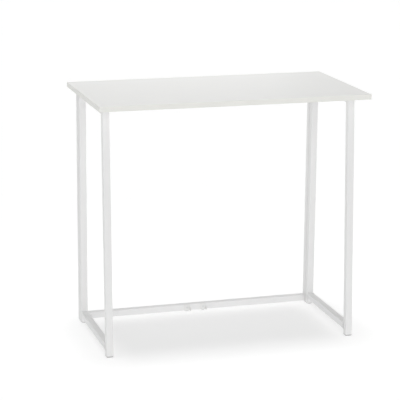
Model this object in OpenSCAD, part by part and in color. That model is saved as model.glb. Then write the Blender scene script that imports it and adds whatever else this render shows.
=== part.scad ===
// Folding desk: a white board on two square-tube side frames that swing inwards to a flat back frame.
// Millimetres. +X is to the right, +Y to the rear, +Z up.
// The origin is on the floor under the middle of the board.

/* [Desktop] */
// Width of the desktop, left to right
desk_w = 800; // [760:10:840]
// Depth of the desktop, front to rear
desk_d = 420; // [400:5:460]
// Height of the top surface above the floor
desk_h = 735; // [690:1:800]
// Thickness of the board
board_t = 15; // [14:1:28]
// Thickness of the edge banding
band_t = 1; // [0.5:0.1:2]

/* [Tube] */
// Outer width of the square tube
tube = 20; // [18:1:22]
// Wall of the square tube
tube_wall = 1.2; // [1:0.1:2]
// Outer corner radius of the square tube
tube_r = 2; // [1.5:0.1:3]
// Radius of the tube's centre line in a bend
bend_r = 30; // [26:1:40]

/* [Frames] */
// Board edge to the outer face of the legs
side_inset = 24; // [20:1:40]
// Rear edge of the board to the rear face of the uprights
rear_inset = 15; // [5:1:20]
// Gap between the front feet when both side frames are folded
fold_gap = 56; // [48:1:80]
// How far the front legs lean forward, from top to floor
leg_lean = 35; // [20:1:50]
// Clearance between the corner of a turning leg and the upright behind it
turn_clear = 0.7; // [0.4:0.1:3]
// Floor to the underside of the lower side rails
rail_clear = 16; // [12:0.5:60]

/* [Feet] */
// Height of a front foot's head, and of the uprights above the floor
foot_h = 4; // [3.5:0.5:8]
// Height of the narrower sole of a foot
sole_h = 1; // [0.5:0.1:1.5]
// How far a sole is set in all round
sole_inset = 0.8; // [0.4:0.1:2]
// Depth of a plug's stem inside the tube
plug_stem = 14; // [8:1:30]
// Clearance all round between a stem and the tube
plug_clear = 0.1; // [0.05:0.05:0.3]

/* [Swing pivots] */
// Thickness of the plates under and over each upright
plate_t = 2.5; // [2:0.1:3]
// How far a plate's round nose stays inside the leg's faces
plate_inset = 0.5; // [0.3:0.1:1.5]
// Radius of the pivot pins
pin_r = 4; // [3:0.1:5]
// Running clearance round a pivot pin
pin_clear = 0.05; // [0.03:0.01:0.08]
// Length of the lower pin above its plate
pin_l = 12; // [8:1:13]
// Gap between a bush and the plate under it
bush_gap = 0.3; // [0.2:0.1:0.8]
// Thickness of a bush's head
bush_head = 1.7; // [1.2:0.1:3]
// Clearance between the top bend of a turning frame and the plate over it
crown_clear = 1.4; // [0.6:0.1:1.9]
// How far a top stud reaches down into the bend
stud_in = 10; // [8:0.5:14]
// How far a top stud stands over its plate
stud_proud = 0.5; // [0.2:0.1:1]

/* [Desktop pivot] */
// Underside of the board to the pivot axis
pivot_drop = 36; // [36:1:45]
// Radius of the pivot bolt
bolt_r = 3; // [2.5:0.1:3.4]
// Running clearance round the pivot bolt
bolt_clear = 0.05; // [0.03:0.01:0.08]
// Radius of the bolt's head
bolt_head_r = 5.2; // [4.5:0.1:6]
// Height of the bolt's head
bolt_head_h = 3.5; // [2.5:0.1:4]
// Gap between the bolt's head and the bracket
bolt_head_gap = 0.2; // [0.1:0.05:0.5]
// Across flats of the key socket in the bolt's head
bolt_key = 4; // [3:0.5:5]
// Outer radius of a threaded insert
nut_r = 4.5; // [4.2:0.1:5]
// Length of a threaded insert inside the tube
nut_l = 13; // [10:1:15]
// Radius of an insert's flange
nut_flange_r = 6.5; // [6:0.1:8]
// Thickness of an insert's flange
nut_flange_t = 0.8; // [0.6:0.1:1.2]
// Radius of the pivot washer
washer_r = 7; // [6.5:0.1:8]
// Thickness of the pivot washer
washer_t = 1; // [0.8:0.1:1.5]
// Radial clearance of washer, insert and screws in their holes
fit_clear = 0.05; // [0.03:0.01:0.1]

/* [Pivot brackets] */
// Thickness of the bracket's steel
bracket_t = 2.5; // [2:0.1:3]
// Width of the bracket's upright plate
bracket_w = 19; // [17:0.5:20]
// Length of the bracket's flange under the board
bracket_flange = 34; // [30:1:60]
// Depth of the bracket's flange, front to rear
bracket_d = 26; // [22:1:28]
// End of the flange to its outer screw
bracket_screw_end = 8; // [6:1:10]
// Distance between the flange's two screws
bracket_screw_gap = 14; // [12:1:30]

/* [Screws] */
// Radius of the wood screws
screw_r = 1.75; // [1.5:0.05:2]
// Radius of a screw's head
screw_head_r = 3.6; // [3:0.1:4]
// Height of a screw's head
screw_head_h = 2.2; // [1.6:0.1:2.6]
// Depth of a wood screw in the board
screw_depth = 10; // [8:0.5:11]
// Space at the blind end of a screw hole
screw_end_gap = 0.5; // [0.3:0.1:1]
// Width of a cross recess
cross_w = 0.9; // [0.6:0.1:1.2]
// Length of a cross recess
cross_l = 4; // [3:0.1:5]
// Depth of a cross recess
cross_d = 1.2; // [0.6:0.1:1.4]

/* [Stops and pads] */
// Length of a corner stop
stop_l = 30; // [20:1:50]
// Wall of a corner stop beside the rail
stop_wall = 3.5; // [3:0.1:5]
// Depth of that wall below the board
stop_drop = 14; // [8:1:18]
// Thickness of the stop's base under the board
stop_base_t = 3; // [2:0.1:4]
// Width of the stop's base, from the rail outwards
stop_base_w = 18; // [14:0.5:19]
// Clearance between a stop and the rail
stop_clear = 0.4; // [0.3:0.1:1]
// Distance from a side frame's corner to the nearest stop
stop_from_corner = 8; // [2:1:40]
// Thickness of a rest pad
pad_t = 1.2; // [0.8:0.1:2]
// Clearance between a rest pad and the rail below it
rest_gap = 0.3; // [0.2:0.1:0.5]
// How far a pad is set in from the rail's edges
pad_inset = 2; // [1:0.5:4]

/* [Leg catches] */
// Thickness of a catch's plate and of its finger
catch_t = 2; // [1.6:0.1:2.4]
// Width of a catch's plate
catch_w = 19; // [14:0.5:22]
// How far a catch's finger stands out beside the folded leg
catch_reach = 14; // [8:0.5:18]
// Clearance between a finger and the foot of the folded leg
catch_clear = 1.2; // [0.8:0.1:2]
// Height of the finger
catch_finger_h = 10; // [6:0.5:14]
// Bottom of the stretcher to the bottom of the finger
catch_finger_up = 1; // [0:0.5:4]
// Thickness of the lip under the stretcher
catch_lip_t = 1.5; // [1:0.1:2.5]
// Depth of the lip under the stretcher
catch_lip_d = 10; // [6:0.5:16]
// Width of the lip under the stretcher
catch_lip_w = 9; // [6:0.5:14]
// Radius of the catch screw
catch_screw_r = 1.5; // [1.2:0.1:1.8]
// Radius of the catch screw's countersunk head
catch_head_r = 3; // [2.6:0.1:3.4]
// Depth of the catch screw's countersunk head
catch_head_h = 1.5; // [1.2:0.1:1.5]
// Length of the catch screw
catch_screw_l = 10; // [7:0.5:14]

/* [Hidden] */
$fn = 48;
over = 1;
sides = ["left", "right"];

board_z = desk_h - board_t;
frame_top = board_z - pad_t - rest_gap;
leg_out_x = desk_w / 2 - side_inset;
leg_in_x = leg_out_x - tube;
leg_mid_x = leg_out_x - tube / 2;

// Corner radius inside the tube
tube_in_r = tube_r / 2;
// Half the diagonal of the tube with its round corners, which the gap has to let pass
turn_r = (tube / 2 - tube_r) * sqrt(2) + tube_r;
post_rear_y = desk_d / 2 - rear_inset;
post_front_y = post_rear_y - tube;
post_mid_y = post_rear_y - tube / 2;
leg_mid_y = post_front_y - turn_r - turn_clear;
leg_front_y = leg_mid_y - tube / 2;
reach = leg_mid_x - fold_gap / 2;
foot_front_y = leg_mid_y - reach;

lean = atan(leg_lean / frame_top);
// Depth of the leaning tube at a level cut
slice = tube / cos(lean);
bend_z = frame_top - tube / 2 - bend_r;
rear_bend_y = leg_mid_y - bend_r;

// Mitre between the front leg and the top rail: its outer and inner corner, and its angle from upright
front_top_y = front_face_y(frame_top);
corner_y = front_face_y(frame_top - tube) + slice;
mitre = atan((corner_y - front_top_y) / tube);

// Highest point of the rear bend under the nose of the top plate
crown_z = bend_z + sqrt(2 * bend_r * tube);
post_top = crown_z + crown_clear;
stud_top = post_top + plate_t + stud_proud;
stud_low = bend_z + sqrt(bend_r * tube + tube * tube / 4) - stud_in;
leg_low = foot_h + bush_gap + bush_head;

pivot_z = board_z - pivot_drop;
washer_x = leg_in_x - nut_flange_t;
bracket_x = washer_x - washer_t;
bracket_in_x = bracket_x - bracket_t;
bolt_head_x = bracket_in_x - bolt_head_gap;
bracket_screw_x = [bracket_in_x - bracket_flange + bracket_screw_end,
                   bracket_in_x - bracket_flange + bracket_screw_end + bracket_screw_gap];

stop_x = leg_out_x + stop_clear;
stop_screw_x = stop_x + (stop_wall + stop_base_w) / 2;
stop_ys = [corner_y + stop_from_corner + stop_l / 2, rear_bend_y - stop_from_corner - stop_l / 2];

// The two catches are alike and not mirrored: each has its finger at one end, beside a folded foot's tip
catch_y = post_front_y - catch_t;
catch_z = foot_h + catch_finger_up;
finger_x = fold_gap / 2 - catch_clear - catch_t;
catch_xs = [-finger_x - catch_w, finger_x + catch_t - catch_w];
catch_screw_z = foot_h + tube / 2;

white = [0.93, 0.93, 0.92];
steel_white = [0.9, 0.9, 0.89];
plastic_white = [0.86, 0.86, 0.85];
zinc = [0.72, 0.73, 0.75];
pad_grey = [0.75, 0.75, 0.74];

// Front face of the leaning front leg at a height
function front_face_y(z) = foot_front_y + leg_lean * z / frame_top;

// Everything is drawn for the right side, and mirrored for the left
module on(side) {
    if (side == "left") mirror([1, 0, 0]) children();
    else children();
}

// Square of the given width, centred, with true round corners
module round_square(width, radius) {
    flat = width - 2 * radius;
    union() {
        square([width, flat], center = true);
        square([flat, width], center = true);
        for (x = [-flat / 2, flat / 2], y = [-flat / 2, flat / 2]) translate([x, y]) circle(r = radius);
    }
}

module tube_section() {
    difference() {
        round_square(tube, tube_r);
        round_square(tube - 2 * tube_wall, tube_in_r);
    }
}

// Straight tube of a length, up the Z axis
module tube_run(length) {
    linear_extrude(height = length) tube_section();
}

// Quarter bend in the YZ plane about the origin, from +Y up to +Z
module tube_bend() {
    rotate([90, 0, 90]) rotate_extrude(angle = 90) translate([bend_r, 0]) tube_section();
}

// Frame of the leaning front leg: its origin is at the top of the leg's axis, and Z goes up the leg
module on_front_leg() {
    translate([leg_mid_x, front_top_y + slice / 2, frame_top]) rotate([-lean, 0, 0]) children();
}

// Large block with a face on the mitre plane: behind the plane from 0, and in front of it from -desk_d
module mitre_block(from) {
    translate([leg_in_x - over, front_top_y, frame_top]) rotate([mitre, 0, 0])
        translate([0, from, -desk_d]) cube([tube + 2 * over, desk_d, 2 * desk_d]);
}

// Plug for a tube's end: a stem inside the tube, Z towards the inside
module plug_stem_up(length) {
    linear_extrude(height = length)
        round_square(tube - 2 * (tube_wall + plug_clear), tube_in_r - plug_clear);
}

// Cross recess that is cut into a screw's head, from z = 0 upwards
module cross_recess() {
    for (a = [0, 90]) rotate([0, 0, a]) translate([-cross_l / 2, -cross_w / 2, 0])
        cube([cross_l, cross_w, cross_d]);
}

module desktop_board() {
    color(white) difference() {
        translate([-desk_w / 2 + band_t, -desk_d / 2 + band_t, board_z])
            cube([desk_w - 2 * band_t, desk_d - 2 * band_t, board_t]);
        for (side = sides) on(side) {
            for (x = bracket_screw_x) screw_hole(x, post_mid_y);
            for (y = stop_ys) screw_hole(stop_screw_x, y);
        }
    }
}

module screw_hole(x, y) {
    translate([x, y, board_z - over])
        cylinder(r = screw_r + fit_clear, h = screw_depth + screw_end_gap + over);
}

// Band along the front or the rear edge, over the full width
module long_band(y) {
    color(white) translate([-desk_w / 2, y, board_z]) cube([desk_w, band_t, board_t]);
}

module side_band(side) {
    color(white) on(side) translate([desk_w / 2 - band_t, -desk_d / 2 + band_t, board_z])
        cube([band_t, desk_d - 2 * band_t, board_t]);
}

// Pan-head wood screw that goes up into the board, with its head's seat at a height
module wood_screw(x, y, seat_z) {
    color(zinc) translate([x, y, seat_z - screw_head_h]) difference() {
        union() {
            cylinder(r = screw_head_r, h = screw_head_h);
            cylinder(r = screw_r, h = screw_head_h + board_z - seat_z + screw_depth);
        }
        cross_recess();
    }
}

module pivot_bracket(side) {
    color(steel_white) on(side) difference() {
        union() {
            translate([bracket_in_x, post_mid_y - bracket_w / 2, pivot_z])
                cube([bracket_t, bracket_w, pivot_drop]);
            translate([bracket_in_x, post_mid_y, pivot_z]) rotate([0, 90, 0])
                cylinder(r = bracket_w / 2, h = bracket_t);
            translate([bracket_in_x - bracket_flange, post_mid_y - bracket_w / 2, board_z - bracket_t])
                cube([bracket_flange + bracket_t, bracket_d, bracket_t]);
        }
        translate([bracket_in_x - over, post_mid_y, pivot_z]) rotate([0, 90, 0])
            cylinder(r = bolt_r + bolt_clear, h = bracket_t + 2 * over);
        for (x = bracket_screw_x) translate([x, post_mid_y, board_z - bracket_t - over])
            cylinder(r = screw_r + fit_clear, h = bracket_t + 2 * over);
    }
}

module bracket_screws() {
    for (side = sides) on(side) for (x = bracket_screw_x) wood_screw(x, post_mid_y, board_z - bracket_t);
}

// Corner stop: a base under the board and a wall outside the top rail
module corner_stop(side, y) {
    color(plastic_white) on(side) difference() {
        union() {
            translate([stop_x, y - stop_l / 2, board_z - stop_base_t])
                cube([stop_base_w, stop_l, stop_base_t]);
            translate([stop_x, y - stop_l / 2, board_z - stop_drop])
                cube([stop_wall, stop_l, stop_drop]);
        }
        translate([stop_screw_x, y, board_z - stop_base_t - over])
            cylinder(r = screw_r + fit_clear, h = stop_base_t + 2 * over);
    }
}

module stop_screws() {
    for (side = sides) on(side) for (y = stop_ys) wood_screw(stop_screw_x, y, board_z - stop_base_t);
}

module rest_pads() {
    color(pad_grey) for (side = sides) on(side) for (y = stop_ys)
        translate([leg_in_x + pad_inset, y - stop_l / 2, board_z - pad_t])
            cube([tube - 2 * pad_inset, stop_l, pad_t]);
}

module post(side) {
    color(steel_white) on(side) difference() {
        translate([leg_mid_x, post_mid_y, foot_h]) tube_run(post_top - foot_h);
        translate([leg_in_x - over, post_mid_y, pivot_z]) rotate([0, 90, 0])
            cylinder(r = nut_r + fit_clear, h = tube / 2 + over);
    }
}

// Outline of the plates that join an upright to the pivot in front of it, seen from above
module plate_outline(inset) {
    translate([leg_mid_x, leg_mid_y]) circle(r = tube / 2 - inset);
    translate([leg_in_x + inset, leg_mid_y]) square([tube - 2 * inset, post_rear_y - leg_mid_y - inset]);
}

module top_plate(side) {
    color(steel_white) on(side) difference() {
        translate([0, 0, post_top]) linear_extrude(height = plate_t) plate_outline(plate_inset);
        translate([leg_mid_x, leg_mid_y, post_top - over])
            cylinder(r = pin_r + pin_clear, h = plate_t + 2 * over);
    }
}

module base_plate(side) {
    color(steel_white) on(side) difference() {
        translate([0, 0, foot_h - plate_t]) linear_extrude(height = plate_t) plate_outline(plate_inset);
        translate([leg_mid_x, leg_mid_y, foot_h - plate_t - over])
            cylinder(r = pin_r + fit_clear, h = plate_t + 2 * over);
    }
}

module base_glide(side) {
    color(plastic_white) on(side) linear_extrude(height = foot_h - plate_t)
        plate_outline(plate_inset + sole_inset);
}

module lower_pin(side) {
    color(zinc) on(side) translate([leg_mid_x, leg_mid_y, foot_h - plate_t])
        cylinder(r = pin_r, h = plate_t + pin_l);
}

module stretcher() {
    color(steel_white) difference() {
        translate([-leg_in_x, post_mid_y, foot_h + tube / 2]) rotate([0, 90, 0]) tube_run(2 * leg_in_x);
        for (x = catch_xs) translate([x + catch_w / 2, post_front_y - over, catch_screw_z])
            rotate([-90, 0, 0]) cylinder(r = catch_screw_r + fit_clear, h = tube_wall + 2 * over);
    }
}

// Plug in the lower end of a leaning front leg, with a level head and sole
module front_foot(side) {
    head_y = front_face_y(foot_h) + slice / 2;
    color(plastic_white) on(side) union() {
        translate([leg_mid_x, head_y, 0]) linear_extrude(height = sole_h)
            round_square(tube - 2 * sole_inset, tube_r);
        translate([leg_mid_x, head_y, sole_h]) linear_extrude(height = foot_h - sole_h)
            round_square(tube, tube_r);
        intersection() {
            on_front_leg() translate([0, 0, -2 * desk_h]) plug_stem_up(2 * desk_h);
            translate([leg_in_x, -desk_d, foot_h]) cube([tube, 2 * desk_d, plug_stem]);
        }
    }
}

// Bush in the lower end of a rear leg, which turns on the lower pin
module leg_bush(side) {
    color(plastic_white) on(side) translate([leg_mid_x, leg_mid_y, foot_h + bush_gap]) difference() {
        union() {
            linear_extrude(height = bush_head) round_square(tube, tube_r);
            translate([0, 0, bush_head]) plug_stem_up(plug_stem);
        }
        translate([0, 0, -over]) cylinder(r = pin_r + pin_clear, h = pin_l + over);
    }
}

// Stud that stands up out of the rear bend, through the top plate
module top_stud(side) {
    color(zinc) on(side) translate([leg_mid_x, leg_mid_y, stud_low])
        cylinder(r = pin_r, h = stud_top - stud_low);
}

module pivot_bolt(side) {
    color(zinc) on(side) translate([bolt_head_x, post_mid_y, pivot_z]) rotate([0, 90, 0]) difference() {
        union() {
            translate([0, 0, -bolt_head_h]) cylinder(r = bolt_head_r, h = bolt_head_h);
            cylinder(r = bolt_r, h = leg_in_x - bolt_head_x + nut_l);
        }
        translate([0, 0, -bolt_head_h - over])
            cylinder(r = bolt_key / 2 / cos(30), h = bolt_head_h / 2 + over, $fn = 6);
    }
}

module pivot_washers() {
    color(plastic_white) for (side = sides) on(side)
        translate([bracket_x, post_mid_y, pivot_z]) rotate([0, 90, 0]) difference() {
            cylinder(r = washer_r, h = washer_t);
            translate([0, 0, -over]) cylinder(r = bolt_r + fit_clear, h = washer_t + 2 * over);
        }
}

module rivet_nuts() {
    color(zinc) for (side = sides) on(side)
        translate([washer_x, post_mid_y, pivot_z]) rotate([0, 90, 0]) difference() {
            union() {
                cylinder(r = nut_flange_r, h = nut_flange_t);
                cylinder(r = nut_r, h = nut_flange_t + nut_l);
            }
            translate([0, 0, -over]) cylinder(r = bolt_r + fit_clear, h = nut_flange_t + nut_l + 2 * over);
        }
}

// Catch on the stretcher: a plate with a lip under the stretcher, and a finger beside the folded foot's tip
module leg_catch(x, at_finger) {
    color(plastic_white) difference() {
        union() {
            translate([x, catch_y, foot_h]) cube([catch_w, catch_t, tube]);
            translate([x + (catch_w - catch_lip_w) / 2, catch_y, foot_h - catch_lip_t])
                cube([catch_lip_w, catch_t + catch_lip_d, catch_lip_t]);
            translate([at_finger, post_front_y - catch_reach, catch_z])
                cube([catch_t, catch_reach, catch_finger_h]);
        }
        translate([x + catch_w / 2, catch_y, catch_screw_z]) rotate([-90, 0, 0]) {
            translate([0, 0, -over]) cylinder(r = catch_screw_r + fit_clear, h = catch_t + 2 * over);
            cylinder(r1 = catch_head_r + fit_clear, r2 = catch_screw_r + fit_clear, h = catch_head_h);
        }
    }
}

module catch_screws() {
    color(zinc) for (x = catch_xs) translate([x + catch_w / 2, catch_y, catch_screw_z]) rotate([-90, 0, 0])
        difference() {
            union() {
                cylinder(r1 = catch_head_r, r2 = catch_screw_r, h = catch_head_h);
                cylinder(r = catch_screw_r, h = catch_screw_l);
            }
            cross_recess();
        }
}

// Top rail, from the mitre at the front to the bend at the rear
module top_rail() {
    difference() {
        translate([leg_mid_x, front_top_y - over, frame_top - tube / 2]) rotate([-90, 0, 0])
            tube_run(rear_bend_y - front_top_y + over);
        mitre_block(-desk_d);
    }
}

// Bent tube: rear leg and top rail, with a hole for the stud in its bend
module rear_leg(side) {
    color(steel_white) on(side) difference() {
        union() {
            translate([leg_mid_x, leg_mid_y, leg_low]) tube_run(bend_z - leg_low);
            translate([leg_mid_x, rear_bend_y, bend_z]) tube_bend();
            top_rail();
        }
        translate([leg_mid_x, leg_mid_y, stud_low])
            cylinder(r = pin_r + fit_clear, h = stud_top - stud_low);
    }
}

// Leaning front leg, cut level above its foot and mitred to the top rail
module front_leg(side) {
    color(steel_white) on(side) difference() {
        on_front_leg() translate([0, 0, -2 * desk_h]) tube_run(2 * desk_h + tube);
        translate([leg_in_x - over, -desk_d, foot_h - 2 * desk_h])
            cube([tube + 2 * over, 2 * desk_d, 2 * desk_h]);
        mitre_block(0);
    }
}

module side_rail(side) {
    rail_z = rail_clear + tube / 2;
    start_y = front_face_y(rail_z) + slice / 2;
    color(steel_white) on(side) difference() {
        translate([leg_mid_x, start_y, rail_z]) rotate([-90, 0, 0]) tube_run(leg_front_y - start_y);
        on_front_leg() translate([0, 0, -2 * desk_h]) linear_extrude(height = 2 * desk_h)
            square([tube + 2 * over, tube], center = true);
    }
}

desktop_board();
long_band(-desk_d / 2);  // edge_band_front
long_band(desk_d / 2 - band_t);  // edge_band_rear
side_band("left");  // edge_band_left
side_band("right");  // edge_band_right
pivot_bracket("left");  // pivot_bracket_left
pivot_bracket("right");  // pivot_bracket_right
bracket_screws();
corner_stop("left", stop_ys[0]);  // stop_left_front
corner_stop("left", stop_ys[1]);  // stop_left_rear
corner_stop("right", stop_ys[0]);  // stop_right_front
corner_stop("right", stop_ys[1]);  // stop_right_rear
stop_screws();
rest_pads();
post("left");  // post_left
post("right");  // post_right
stretcher();
top_plate("left");  // top_plate_left
top_plate("right");  // top_plate_right
base_plate("left");  // base_plate_left
base_plate("right");  // base_plate_right
base_glide("left");  // base_glide_left
base_glide("right");  // base_glide_right
lower_pin("left");  // lower_pin_left
lower_pin("right");  // lower_pin_right
pivot_bolt("left");  // pivot_bolt_left
pivot_bolt("right");  // pivot_bolt_right
pivot_washers();
rivet_nuts();
leg_catch(catch_xs[0], -finger_x - catch_t);  // leg_catch_left
leg_catch(catch_xs[1], finger_x);  // leg_catch_right
catch_screws();
rear_leg("left");  // rear_leg_left
rear_leg("right");  // rear_leg_right
front_leg("left");  // front_leg_left
front_leg("right");  // front_leg_right
side_rail("left");  // side_rail_left
side_rail("right");  // side_rail_right
front_foot("left");  // front_foot_left
front_foot("right");  // front_foot_right
leg_bush("left");  // leg_bush_left
leg_bush("right");  // leg_bush_right
top_stud("left");  // top_stud_left
top_stud("right");  // top_stud_right
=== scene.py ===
import math

import bmesh
import bpy
from mathutils import Matrix, Vector


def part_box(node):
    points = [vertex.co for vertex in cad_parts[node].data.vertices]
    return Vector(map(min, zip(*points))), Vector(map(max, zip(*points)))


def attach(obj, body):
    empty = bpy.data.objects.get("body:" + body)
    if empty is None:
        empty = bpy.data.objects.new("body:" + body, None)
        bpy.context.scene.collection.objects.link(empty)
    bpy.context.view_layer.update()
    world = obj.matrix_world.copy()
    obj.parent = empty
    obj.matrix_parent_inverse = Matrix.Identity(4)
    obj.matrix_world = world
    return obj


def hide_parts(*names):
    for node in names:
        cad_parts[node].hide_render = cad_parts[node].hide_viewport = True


bl_info = {
    "name": "Folding Desk",
    "version": (1, 0, 0),
    "blender": (4, 5, 0),
    "location": "View3D > Sidebar > Desk",
    "description": "Builds the pieces, finishes and studio of a white folding desk with swinging tube frames",
    "category": "Add Mesh",
}

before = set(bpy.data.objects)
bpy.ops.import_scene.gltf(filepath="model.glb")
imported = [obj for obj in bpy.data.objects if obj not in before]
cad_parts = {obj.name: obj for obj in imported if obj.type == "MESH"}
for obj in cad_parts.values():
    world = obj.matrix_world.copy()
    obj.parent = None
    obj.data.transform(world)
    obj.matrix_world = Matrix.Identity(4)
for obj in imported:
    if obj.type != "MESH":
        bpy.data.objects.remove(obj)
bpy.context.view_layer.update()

MM = 0.001
# Two coordinates that differ by less than this are the same
NEAR = MM / 100
# A round nose's radius as a share of half its plate's width, so that its two corners don't meet in one point
NOSE = 0.999
WHITE = (1, 1, 1, 1)
ENDS = ("front", "rear")
# The right side is drawn as it stands, and the left side is its mirror image
SIDES = {"left": Matrix.Scale(-1, 4, (1, 0, 0)), "right": Matrix.Identity(4)}
# These turn a shape that is drawn flat in XY, with its thickness along Z, to stand across an axis
ACROSS_X = Matrix(((0, 0, 1), (1, 0, 0), (0, 1, 0))).to_4x4()
ACROSS_Y = Matrix(((0, 1, 0), (0, 0, 1), (1, 0, 0))).to_4x4()
# These turn a shape's top down, to the front and from the right side to the middle
UPSIDE_DOWN = Matrix.Rotation(math.pi, 4, "X")
FACING_FRONT = Matrix.Rotation(math.radians(90), 4, "X")
FACING_INWARDS = Matrix.Rotation(math.radians(-90), 4, "Y")
ALONG_Y = Vector((0, 1, 0))


def at(x, y, z):
    return Matrix.Translation((x, y, z))


def extent(node):
    """A node's lowest corner, its middle and its highest corner."""
    low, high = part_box(node)
    return low, (low + high) / 2, high


def width_of(node, axis):
    """Size of a node's box along one axis, 0 to 2."""
    low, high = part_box(node)
    return high[axis] - low[axis]


def distance(name, description, default, low=0.0, high=1.0):
    """Property for a length."""
    return bpy.props.FloatProperty(
        name=name, description=description, default=default, min=low, max=high, subtype="DISTANCE",
        unit="LENGTH",
    )


def position(name, description, default):
    """Property for a place."""
    return bpy.props.FloatVectorProperty(
        name=name, description=description, default=default, size=3, subtype="TRANSLATION", unit="LENGTH",
    )


def aim(name, description, default):
    """Property for a direction."""
    return bpy.props.FloatVectorProperty(
        name=name, description=description, default=default, size=3, subtype="DIRECTION",
    )


def rotation(name, description, degrees):
    """Property for an angle."""
    return bpy.props.FloatProperty(
        name=name, description=description, default=math.radians(degrees), subtype="ANGLE", unit="ROTATION",
    )


def colour(name, description, default):
    """Property for a colour."""
    return bpy.props.FloatVectorProperty(
        name=name, description=description, default=default, min=0.0, max=1.0, size=3, subtype="COLOR",
    )


def amount(name, description, default, low=0.0, high=10.0):
    """Property for a number without a unit."""
    return bpy.props.FloatProperty(name=name, description=description, default=default, min=low, max=high)


def count(name, description, default):
    """Property for a whole number."""
    return bpy.props.IntProperty(name=name, description=description, default=default, min=1)


class DeskTubeSizes(bpy.types.PropertyGroup):
    """Sizes of the square tubes and their welds."""

    width: distance("Tube width", "Outer width of the square tube", width_of("post_right", 0))
    wall: distance("Tube wall", "Wall of the square tube", 1.2 * MM)
    radius: distance("Tube corner", "Outer corner radius of the square tube", 2 * MM)
    bend: distance("Bend radius", "Radius of a rear tube's centre line in its bend", 30 * MM)
    lean: distance("Leg lean", "How far a front leg leans forward from its frame's top to the floor", 35 * MM)
    corner_steps: count("Corner steps", "Faces round a tube's corner", 5)
    bend_steps: count("Bend steps", "Faces along a quarter bend", 24)
    bead: distance("Weld bead", "Radius of the bead at a welded joint", 0.9 * MM)
    seam: distance("Ground seam", "Radius of the bead left where a butt weld is ground down", 0.35 * MM)
    ripple: distance("Weld ripple", "Distance between the ripples of a bead", 1.3 * MM)


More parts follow.
